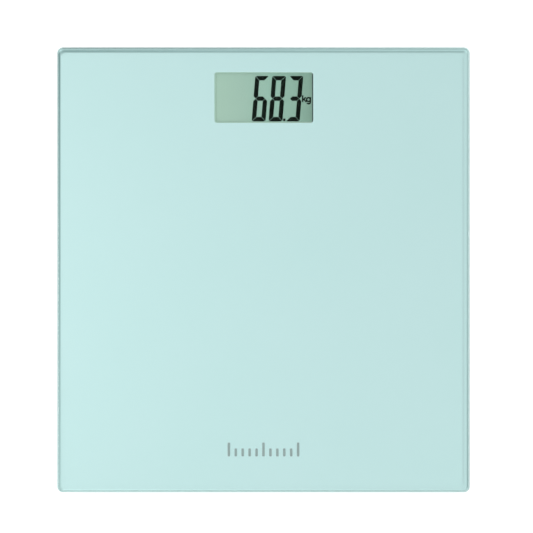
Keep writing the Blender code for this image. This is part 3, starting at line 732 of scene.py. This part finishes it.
def make_unit():
    """The letters k and g, drawn with a pen."""
    look = material("lcd_unit", srgb(48, 60, 54), 0.6, Specular_IOR_Level=0.1)
    coloured(look, between(look, noise(look, 3000, 2), srgb(14, 26, 20), srgb(24, 36, 30)))
    turns = [2 * math.pi * k / 16 for k in range(17)]
    bowl = [(4.3 + 1.28 * math.cos(turn), 1.5 + 1.344 * math.sin(turn)) for turn in turns]
    stem, arm, leg = ((0.35, 0), (0.35, 4.3)), ((2.35, 2.95), (0.7, 1.35)), ((1.3, 1.85), (2.6, 0))
    tail = ((5.58, 3.0), (5.58, -0.4), (5.23, -1.05), (4.38, -1.35), (3.28, -1.05))
    strokes = [quad for line in (stem, arm, leg, bowl, tail) for quad in pen_strokes(line)]
    printed(strokes, LCD_TOP, "display_unit", look)


make_unit()

# Painted shadow round the window: tones in the order of EDGE_TONES, dark along the right side and partly
# dark along the far and near sides.
RIM_OUTER_TONES = (0.0, 0.5, 0.7, 1.0, 1.0, 0.7, 0.5, 0.0)
RIM_INNER_TONES = (0.0, 0.95, 0.97, 1.0, 1.0, 0.97, 0.95, 0.0)


def rim_ring(right, far, left, near, radius, tones):
    """The window's outline moved in by a distance in mm for each side, and its tones."""
    half_x = WINDOW_HALF_X - (right + left) / 2 * MM
    half_y = WINDOW_HALF_Y - (far + near) / 2 * MM
    centre = (WINDOW_PLACE[0] + (left - right) / 2 * MM, WINDOW_PLACE[1] + (near - far) / 2 * MM)
    return rounded(half_x, half_y, radius * MM, centre=centre), corner_values(tones)


def make_rim():
    """A thin frame that slopes from under the print's edge down to the display, with painted shadow: dark
    along the window's right side, partly dark along its far and near sides and pale on its left.
    """
    look = material("lcd_rim_shadow", (0.3, 0.4, 0.38), 0.5)
    shade = ramp(look, tone_of(look), ((0.0, srgb(28, 50, 56)), (1.0, srgb(192, 229, 210))))
    coloured(look, multiplied(look, shade, between(look, noise(look, 2500), 0.96, 1.0)))
    outer, outer_tones = rim_ring(-0.4, -0.4, -0.4, -0.4, 1.8, RIM_OUTER_TONES)
    inner, inner_tones = rim_ring(0.6, 0.6, 0.9, 0.8, 1.0, RIM_INNER_TONES)
    top, step, bottom = print_low.z - 0.1 * MM, FILM_TOP + 0.08 * MM, FILM_TOP + 0.03 * MM
    mesh = loft([(outer, top), (inner, step), (inner, bottom), (outer, bottom)], "display_shadow_rim", closed=True)
    toned(mesh, outer_tones + inner_tones + inner_tones + outer_tones)
    mesh.materials.append(look)
    link("display_shadow_rim", mesh)


make_rim()

# ---------------------------------------------------------------- finishes of the underside and the inside


def moulded(name, colour, rough, grain=1600, depth=0.25, mottle=0.05, metal=0.0):
    """A material whose colour, roughness and height vary with a fine and a broad noise."""
    made = material(name, colour, rough, metal)
    fine = noise(made, grain, 3)
    broad = noise(made, grain / 14, 3)
    darker = tuple(v * (1 - mottle) for v in colour)
    coloured(made, mix(made, broad, darker, colour))
    wire(made, between(made, fine, rough - 0.07, rough + 0.07), shader_of(made).inputs["Roughness"])
    bump(made, fine, depth, 0.03)
    return made


def brushed(name, colour, rough, stretch=(1, 12, 1)):
    """Metal with fine lines along one direction."""
    made = material(name, colour, rough, 1.0)
    lines = noise(made, 900, 4, stretch)
    darker = tuple(v * 0.8 for v in colour)
    coloured(made, between(made, lines, darker, colour))
    wire(made, between(made, lines, rough - 0.08, rough + 0.1), shader_of(made).inputs["Roughness"])
    bump(made, lines, 0.12, 0.01)
    return made


def board_material():
    """Green solder resist with a pattern of paler tracks."""
    look = material("circuit_board", srgb(22, 98, 56), 0.35)
    grid = add(look, "Mapping", Scale=(110, 110, 110))
    wire(look, object_place(look), grid.inputs["Vector"])
    tracks = add(look, "TexBrick", Scale=1.0, Mortar_Size=0.05, Mortar_Smooth=0.2,
                 Color1=(*srgb(18, 84, 48), 1), Color2=(*srgb(22, 92, 54), 1),
                 Mortar=(*srgb(74, 152, 96), 1))
    wire(look, grid.outputs[0], tracks.inputs["Vector"])
    grain = between(look, noise(look, 1500, 3), 0.88, 1.0)
    coloured(look, multiplied(look, tracks.outputs["Color"], grain))
    bump(look, tracks.outputs["Fac"], 0.3, 0.03)
    return look


def strip_material():
    """Dark conducting layers in a pink silicone strip."""
    look = material("contact_rubber", srgb(180, 110, 116), 0.6)
    layers = add(look, "TexWave", bands_direction="X", Scale=700, Distortion=0.4)
    wire(look, object_place(look), layers.inputs["Vector"])
    shades = ((0.35, srgb(44, 40, 42)), (0.65, srgb(206, 140, 146)))
    coloured(look, ramp(look, layers.outputs["Fac"], shades))
    bump(look, layers.outputs["Fac"], 0.2, 0.02)
    return look


white_look = moulded("white_plastic", srgb(215, 219, 217), 0.48)
door_look = moulded("door_plastic", srgb(208, 212, 210), 0.5, grain=1300, depth=0.35)
# A darker copy of the white plastic for moulded marks on the housing: painted shade that picks them out.
moulding_shade_look = moulded("moulding_shade_plastic", srgb(190, 195, 194), 0.52, grain=1300)
grey_look = moulded("grey_plastic", srgb(146, 151, 153), 0.5)
carrier_look = moulded("carrier_plastic", srgb(128, 133, 136), 0.5, grain=1300)
rubber_look = moulded("pad_rubber", srgb(62, 64, 66), 0.82, grain=2400, depth=0.5, mottle=0.2)
glue_look = moulded("glue", srgb(214, 212, 200), 0.35, grain=500, depth=0.3, mottle=0.12)
potting_look = moulded("gauge_potting", srgb(226, 224, 212), 0.4, grain=700, depth=0.4, mottle=0.08)
resin_look = moulded("black_resin", srgb(24, 24, 26), 0.28, grain=600, depth=0.3, mottle=0.3)
switch_look = moulded("switch_plastic", srgb(30, 30, 32), 0.45, mottle=0.2)
reflector_look = moulded("lcd_reflector", srgb(150, 178, 164), 0.45, grain=3000)
solder_look = moulded("solder", (0.72, 0.72, 0.7), 0.3, grain=900, depth=0.4, mottle=0.25, metal=1.0)
cell_look = brushed("cell_steel", (0.62, 0.62, 0.64), 0.3)
contact_look = brushed("contact_steel", (0.78, 0.76, 0.7), 0.24, stretch=(12, 1, 1))
screw_look = brushed("screw_steel", (0.6, 0.61, 0.64), 0.3, stretch=(1, 1, 10))
battery_look = brushed("battery_steel", (0.8, 0.8, 0.81), 0.2, stretch=(1, 6, 1))
can_look = brushed("can_steel", (0.76, 0.76, 0.78), 0.22, stretch=(1, 1, 8))
board_look = board_material()
strip_look = strip_material()
CABLE_COLOURS = {"red": srgb(178, 34, 30), "white": srgb(222, 222, 216), "black": srgb(30, 30, 32)}
cable_looks = [moulded(f"cable_{name}", colour, 0.42, grain=900, depth=0.15, mottle=0.12)
               for name, colour in CABLE_COLOURS.items()]

# ---------------------------------------------------------------- rigid plastic, steel and layers

softened("display_housing", 0.35, white_look)
softened("lcd_frame", 0.2, white_look)
softened("battery_door", 0.22, door_look, DOOR)
for side in ("left", "right"):
    softened(f"cable_cover_{side}", 0.25, white_look)
for corner, _, _ in CORNERS:
    softened(f"foot_housing_{corner}", 0.3, white_look)
    softened(f"foot_{corner}", 0.25, grey_look)
    softened(f"cell_carrier_{corner}", 0.2, carrier_look)
    softened(f"load_cell_{corner}", 0.25, cell_look)
    softened(f"strain_gauge_{corner}", 0.25, potting_look)
softened("battery_contact_minus", 0.08, contact_look)
softened("battery_contact_plus", 0.08, contact_look)
softened("unit_switch", 0.2, switch_look)
softened("switch_plunger", 0.15, switch_look, BUTTON)
softened("crystal", 0.3, can_look)
softened("capacitor", 0.25, can_look)
softened("circuit_board", 0.08, board_look)
softened("contact_strip", 0.1, strip_look)

# Layers keep the CAD's own shapes.
dress(["housing_glue"] + [f"foot_glue_{corner}" for corner, _, _ in CORNERS], glue_look)
dress(["lcd_reflector"], reflector_look)

# ---------------------------------------------------------------- turned pieces

# Sections are (radius, height above the floor) in mm.
CHIP_DOME = ((0, 9.3), (1.5, 9.3), (3.2, 9.36), (4.6, 9.52), (5.8, 9.82), (6.6, 10.2), (7.0, 10.5),
             (0, 10.5))
# The radii between which each tread stands on the floor, and how high the grooves between them are.
TREADS = ((2.6, 5.8), (7.4, 10.6), (12.2, 15.4))
GROOVE = 0.45
PAD_RIM = ((16.8, GROOVE), (17.0, 0.12), (17.3, 0.0), (18.5, 0.0), (19.0, 0.12), (19.4, 0.4), (19.6, 0.8),
           (19.6, 2.0), (0, 2.0))
BUTTON_DISH = ((0, 4.95), (1.4, 4.9), (2.6, 4.74), (3.2, 4.62), (3.5, 4.6), (3.8, 4.7), (3.97, 4.9),
               (4.0, 5.1))
BUTTON_FLANGE = ((4.0, 7.1), (5.4, 7.1), (5.5, 7.2), (5.5, 7.8), (5.4, 7.9), (0, 7.9))
CELL_CASE = ((0, 7.8), (8.7, 7.8), (9.2, 7.84), (9.6, 7.98), (9.88, 8.24), (10.0, 8.6), (10.0, 10.1),
             (9.85, 10.32), (9.5, 10.42), (9.1, 10.44), (9.0, 10.3), (0, 10.3))
CELL_RING = ((8.5, 10.36), (9.0, 10.36), (9.0, 10.52), (8.8, 10.6), (8.5, 10.6))
CELL_LID = ((0, 10.36), (8.5, 10.36), (8.5, 10.7), (8.35, 10.9), (8.0, 11.0), (0, 11.0))
SCREW = ((0, 7.7), (0.9, 7.7), (1.15, 8.1), (1.15, 11.9), (2.45, 11.9), (2.6, 12.05), (2.6, 12.6),
         (2.4, 12.95), (2.0, 13.2), (1.4, 13.3), (0, 13.3))
RECESS_FLOOR = 12.7
ABOVE_SCREW = 14
SOLDER = ((0, 11.84), (0.7, 11.84), (0.6, 12.0), (0.4, 12.2), (0.2, 12.28), (0, 12.3))


def pad_section():
    """A pad with three raised round treads and a raised rim, from its middle to its back."""
    points = [(0, GROOVE)]
    for start, end in TREADS:
        points += [(start, GROOVE), (start + 0.2, 0.12), (start + 0.5, 0.0),
                   (end - 0.5, 0.0), (end - 0.2, 0.12), (end, GROOVE)]
    return points + list(PAD_RIM)


def make_battery():
    """The coin cell: a stamped case with a plain plus, and a narrower lid on a plastic ring."""
    case = turned(CELL_CASE, "battery_case", battery_look, BATTERY_PLACE)
    link("battery_case", case, ["battery"])
    link("battery_ring", turned(CELL_RING, "battery_ring", switch_look, BATTERY_PLACE))
    link("battery_lid", turned(CELL_LID, "battery_lid", can_look, BATTERY_PLACE))
    bars = [rounded(half_x * MM, half_y * MM, 0.2 * MM, 3, BATTERY_PLACE)
            for half_x, half_y in ((2.2, 0.4), (0.4, 2.2))]
    raised(bars, 7.81 * MM, 7.72 * MM, 0.95, "battery_plus", battery_look)


def make_screw(number):
    """A board screw with a cross recess."""
    centre = middle(f"board_screw_{number}")
    body = turned(SCREW, "screw", screw_look, centre, 32)
    recess = []
    for half_x, half_y in ((1.5, 0.3), (0.3, 1.5)):
        outline = rounded(half_x * MM, half_y * MM, 0.1 * MM, 2, centre)
        recess.append(loft([(outline, RECESS_FLOOR * MM), (outline, ABOVE_SCREW * MM)], "recess"))
    screw = carved(body, recess, f"cross_screw_{number}")
    screw.materials.clear()
    screw.materials.append(screw_look)
    link(f"cross_screw_{number}", screw, [f"board_screw_{number}"])


chip = turned(CHIP_DOME, "chip_blob", resin_look, middle("chip_cover"))
link("chip_blob", chip, ["chip_cover"])
for corner, _, _ in CORNERS:
    pad = turned(pad_section(), f"tread_pad_{corner}", rubber_look, middle(f"foot_pad_{corner}"))
    link(f"tread_pad_{corner}", pad, [f"foot_pad_{corner}"])
# The unit button is dished for a fingertip.
cap = turned(BUTTON_DISH + BUTTON_FLANGE, "dished_button", grey_look, BUTTON_PLACE)
link("dished_button", cap, ["unit_button"], BUTTON)
make_battery()
for number in range(1, 5):
    make_screw(number)

# ---------------------------------------------------------------- marks moulded on the underside

# A moulded mark starts just inside the face that it stands on.
RELIEF_BASE = HOUSING_LOW + 0.02 * MM
# The marks' places and sizes, in mm.
RIDGES = 5
RIDGE_START_Y = 63.0
RIDGE_PITCH = 1.3
DOOR_ARROW = ((-2.4, 75.5), (2.4, 75.5), (0, 71.6))
# A button arrow's base and tip are this far from the button's middle.
ARROW_BASE = 7.6
ARROW_TIP = 9.8
ARROW_HALF_WIDTH = 1.3
LINES = 4
LINE_START_Y = 121
LINE_PITCH = 3
DOOR_FRAME_PLACE = (0, 74.6 * MM)
# The door frame's levels in mm: half its width and length, its corner radius, its height off the floor.
DOOR_FRAME = ((15.2, 16.4, 2.2, 5.02), (14.9, 16.1, 1.9, 4.72),
              (13.6, 14.8, 0.8, 4.72), (13.6, 14.8, 0.8, 5.02))
BUTTON_RING = ((5.0, 5.05), (5.15, 4.75), (5.75, 4.72), (5.95, 5.05))


def on_housing(outlines, height, share, name, mat, body=PLATFORM):
    """Marks that stand a height in mm proud of the housing's underside or of the door's."""
    raised(outlines, RELIEF_BASE, HOUSING_LOW - height * MM, share, name, mat, body)


def make_door_marks():
    """Grips and an arrow on the battery door, in grey: painted shade that picks them out on the white door.
    """
    ridges = [rounded(2.9 * MM, 0.35 * MM, 0.3 * MM, 3, (0, (RIDGE_START_Y + RIDGE_PITCH * k) * MM))
              for k in range(RIDGES)]
    on_housing(ridges, 0.22, 0.93, "door_ridges", grey_look, DOOR)
    arrow = [(x * MM, y * MM) for x, y in DOOR_ARROW]
    on_housing([arrow], 0.2, 0.86, "door_arrow", grey_look, DOOR)


def make_door_frame():
    """A raised frame on the housing, round the battery door, in a darker plastic: painted shade that picks
    it out.
    """
    levels = [(rounded(half_x * MM, half_y * MM, radius * MM, centre=DOOR_FRAME_PLACE), height * MM)
              for half_x, half_y, radius, height in DOOR_FRAME]
    mesh = loft(levels, "door_frame", closed=True)
    mesh.materials.append(moulding_shade_look)
    link("door_frame", mesh)


def make_button_marks():
    """A raised ring round the unit button and an arrow on each side of it, darker than the housing: painted
    shade that picks them out.
    """
    ring = turned(BUTTON_RING, "button_ring", moulding_shade_look, BUTTON_PLACE)
    link("button_ring", ring)
    x, y = BUTTON_PLACE
    arrows = []
    for side_x in (-1, 1):
        base = x + side_x * ARROW_BASE * MM
        arrows.append([(base, y - ARROW_HALF_WIDTH * MM), (base, y + ARROW_HALF_WIDTH * MM),
                       (x + side_x * ARROW_TIP * MM, y)])
    # The arrows are grey: painted shade that picks them out on the white housing.
    on_housing(arrows, 0.25, 0.8, "button_arrows", grey_look)


def make_housing_lines():
    """Grip lines across the housing's underside, darker than the housing: painted shade that picks them
    out.
    """
    lines = [rounded(44 * MM, 0.45 * MM, 0.4 * MM, 3, (0, (LINE_START_Y + LINE_PITCH * k) * MM))
             for k in range(LINES)]
    on_housing(lines, 0.22, 0.99, "housing_lines", moulding_shade_look)


make_door_marks()
make_door_frame()
make_button_marks()
make_housing_lines()

# ---------------------------------------------------------------- gussets

GUSSETS = 16
GUSSET_HALF_WIDTH = 0.45 * MM
# A gusset's section: (radius from the foot's middle, height above the floor) in mm.
GUSSET = ((29.1, 11.6), (31.2, 15.02), (29.1, 15.02))


def make_gussets(corner):
    """Gussets between a foot housing's wall and its flange."""
    shape = bmesh.new()
    foot = Vector((*middle(f"foot_pad_{corner}"), 0))
    for index in range(GUSSETS):
        turn = 2 * math.pi * (index + 0.5) / GUSSETS
        out = Vector((math.cos(turn), math.sin(turn), 0))
        aside = Vector((-out.y, out.x, 0)) * GUSSET_HALF_WIDTH
        section = [foot + out * radius * MM + UP * height * MM for radius, height in GUSSET]
        near = [shape.verts.new(point - aside) for point in section]
        far = [shape.verts.new(point + aside) for point in section]
        shape.faces.new(near)
        shape.faces.new(far)
        bridge(shape, near, far)
    mesh = clean(shape, f"gussets_{corner}", 20)
    mesh.materials.append(white_look)
    link(f"gussets_{corner}", mesh)


for corner, _, _ in CORNERS:
    make_gussets(corner)

# ---------------------------------------------------------------- twisted wires

LEAD_Z = 13.8 * MM
LEAD_START = 3.4 * MM
LEAD_END_X = 50 * MM
COVER_END_Y = 57 * MM
PAST_COVER = 13 * MM
LEAD_STEPS = 90
# The lead sinks by this much to the board over its last stretch.
SINK = 0.8 * MM
SINK_RUN = 12 * MM
TWIST = 11 * MM
WIRE_RADIUS = 0.41 * MM
WIRE_SIDES = 8
WOUND_RADIUS = 0.46 * MM
JOINT_PITCH = 1.5 * MM
JOINT_INSET = 0.4 * MM


def lead_points(corner, side_x, side_y):
    """Points in the middle of a corner's lead with the length up to each, and the lead's direction."""
    x, y = middle(f"foot_pad_{corner}")
    gauge = Vector((x, y, LEAD_Z))
    if side_y > 0:
        end = Vector((side_x * LEAD_END_X, y, LEAD_Z))
    else:
        entry = Vector((side_x * LEAD_END_X, COVER_END_Y, LEAD_Z))
        end = entry + (entry - gauge).normalized() * PAST_COVER
    along = (end - gauge).normalized()
    start = gauge + along * LEAD_START
    run = (end - start).length
    points = []
    for step in range(LEAD_STEPS + 1):
        gone = run * step / LEAD_STEPS
        share = max(0.0, (gone - run + SINK_RUN) / SINK_RUN)
        points.append((start + along * gone - UP * SINK * share * share * (3 - 2 * share), gone))
    return points, along


def add_wire(shape, points, across, slot):
    """An insulated wire along the points, with the material of a slot."""
    turns = [2 * math.pi * k / WIRE_SIDES for k in range(WIRE_SIDES)]
    offsets = [(across * math.cos(turn) + UP * math.sin(turn)) * WIRE_RADIUS for turn in turns]
    first = len(shape.faces)
    loops = [[shape.verts.new(point + offset) for offset in offsets] for point in points]
    shape.faces.new(loops[0])
    shape.faces.new(loops[-1])
    for one, other in zip(loops, loops[1:]):
        bridge(shape, one, other)
    shape.faces.ensure_lookup_table()
    for face in shape.faces[first:]:
        face.material_index = slot


def make_lead(corner, side_x, side_y):
    """Three twisted wires from a gauge to the board, and their solder joints."""
    points, along = lead_points(corner, side_x, side_y)
    across = along.cross(UP)
    shape = bmesh.new()
    for strand in range(3):
        wound = []
        for point, gone in points:
            turn = 2 * math.pi * (gone / TWIST + strand / 3)
            wound.append(point + (across * math.cos(turn) + UP * math.sin(turn)) * WOUND_RADIUS)
        add_wire(shape, wound, across, strand)
    mesh = clean(shape, f"twisted_lead_{corner}", 60)
    for look in cable_looks:
        mesh.materials.append(look)
    link(f"twisted_lead_{corner}", mesh, [f"cell_lead_{corner}"])
    end = points[-1][0]
    for offset in (-1, 0, 1):
        spot = end - across * offset * JOINT_PITCH - along * JOINT_INSET
        joint = turned(SOLDER, f"solder_{corner}_{3 * offset + 3}", solder_look, spot, 16)
        link(joint.name, joint)


for corner, side_x, side_y in CORNERS:
    make_lead(corner, side_x, side_y)
